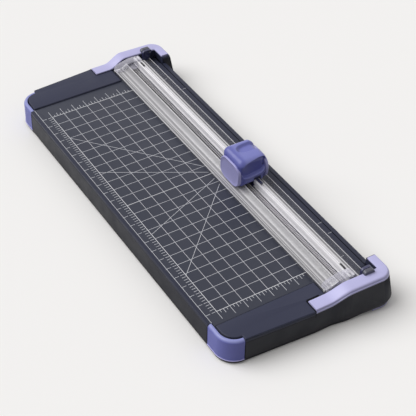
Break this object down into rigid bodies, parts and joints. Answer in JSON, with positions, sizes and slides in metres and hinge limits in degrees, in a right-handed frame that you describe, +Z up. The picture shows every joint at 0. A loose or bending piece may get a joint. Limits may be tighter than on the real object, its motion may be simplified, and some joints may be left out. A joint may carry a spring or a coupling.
{
  "type": "desk paper trimmer",
  "caption": "Desk paper trimmer: flat ruled base, hinged clear clamping rail, and a sliding carriage that presses a round blade onto a cutting strip.",
  "frame": {"origin": "on the table, under the middle of the base's bounding box", "axes": "+Y along the cut, towards the end where the printed rows start at zero; +X from the printed panel to the rail; +Z up"},
  "size_m": [0.169, 0.415, 0.0606],
  "materials": {
    "base_tub": "matte charcoal",
    "top_cover": "satin dark navy",
    "grid_panel": "satin slate grey",
    "far_end_slab": "satin dark navy",
    "near_end_slab": "satin dark navy",
    "far_left_bumper": "soft violet",
    "near_left_bumper": "soft violet",
    "far_bracket": "satin lavender",
    "near_bracket": "satin lavender",
    "far_corner_lip": "satin lavender",
    "near_corner_lip": "satin lavender",
    "cutting_strip": "brownish grey, fine toothed",
    "far_hinge_block": "near black",
    "near_hinge_block": "near black",
    "far_hinge_pin": "drawn steel",
    "near_hinge_pin": "drawn steel",
    "rubber_feet": "black",
    "base_screws": "zinc plated",
    "bracket_screws": "zinc plated",
    "clamp_bar": "milky clear",
    "guide_rail": "clear",
    "far_rail_cap": "clear, bluish",
    "near_rail_cap": "clear, bluish",
    "far_knuckle": "smoky clear",
    "near_knuckle": "smoky clear",
    "grip_strip": "grey",
    "track_plugs": "near black",
    "cap_screws": "zinc plated",
    "slide_shoe": "dark navy",
    "guide_pins": "turned steel",
    "press_springs": "spring wire",
    "carriage_shell": "satin violet",
    "left_side_plate": "translucent lilac",
    "right_side_plate": "translucent lilac",
    "blade_holder": "near black",
    "blade_axle": "ground steel",
    "shell_screws": "zinc plated",
    "blade_wheel": "ground and honed",
    "blade_hub": "near black"
  },
  "bodies": {
    "base": {"base_tub": "base_tub", "top_cover": "top_cover", "grid_panel": "grid_panel", "far_end_slab": "far_end_slab", "near_end_slab": "near_end_slab", "far_left_bumper": "far_left_bumper", "near_left_bumper": "near_left_bumper", "far_bracket": "far_bracket", "near_bracket": "near_bracket", "far_corner_lip": "far_corner_lip", "near_corner_lip": "near_corner_lip", "cutting_strip": "cutting_strip", "far_hinge_block": "far_hinge_block", "near_hinge_block": "near_hinge_block", "far_hinge_pin": "far_hinge_pin", "near_hinge_pin": "near_hinge_pin", "rubber_feet": "rubber_feet", "base_screws": "base_screws", "bracket_screws": "bracket_screws"},
    "rail": {"clamp_bar": "clamp_bar", "guide_rail": "guide_rail", "far_rail_cap": "far_rail_cap", "near_rail_cap": "near_rail_cap", "far_knuckle": "far_knuckle", "near_knuckle": "near_knuckle", "grip_strip": "grip_strip", "track_plugs": "track_plugs", "cap_screws": "cap_screws"},
    "shoe": {"slide_shoe": "slide_shoe", "guide_pins": "guide_pins", "press_springs": "press_springs"},
    "carriage": {"carriage_shell": "carriage_shell", "left_side_plate": "left_side_plate", "right_side_plate": "right_side_plate", "blade_holder": "blade_holder", "blade_axle": "blade_axle", "shell_screws": "shell_screws"},
    "blade": {"blade_wheel": "blade_wheel", "blade_hub": "blade_hub"}
  },
  "joints": [
    {"name": "rail_lift", "type": "hinge", "parent": "base", "child": "rail", "pos_m": [0.0645, 0, 0.036], "axis": [0, 1, 0], "range_deg": [0, 75]},
    {"name": "carriage_slide", "type": "slide", "parent": "rail", "child": "shoe", "axis": [0, 1, 0], "range_m": [-0.1282, 0.1822]},
    {"name": "carriage_press", "type": "slide", "parent": "shoe", "child": "carriage", "axis": [0, 0, -1], "range_m": [0, 0.0015], "stiffness_N_per_m": 1500, "springref_m": -0.004, "deforming": ["press_springs"]},
    {"name": "blade_spin", "type": "hinge", "parent": "carriage", "child": "blade", "pos_m": [0.0423, -0.027, 0.0392], "axis": [1, 0, 0], "continuous": true}
  ]
}
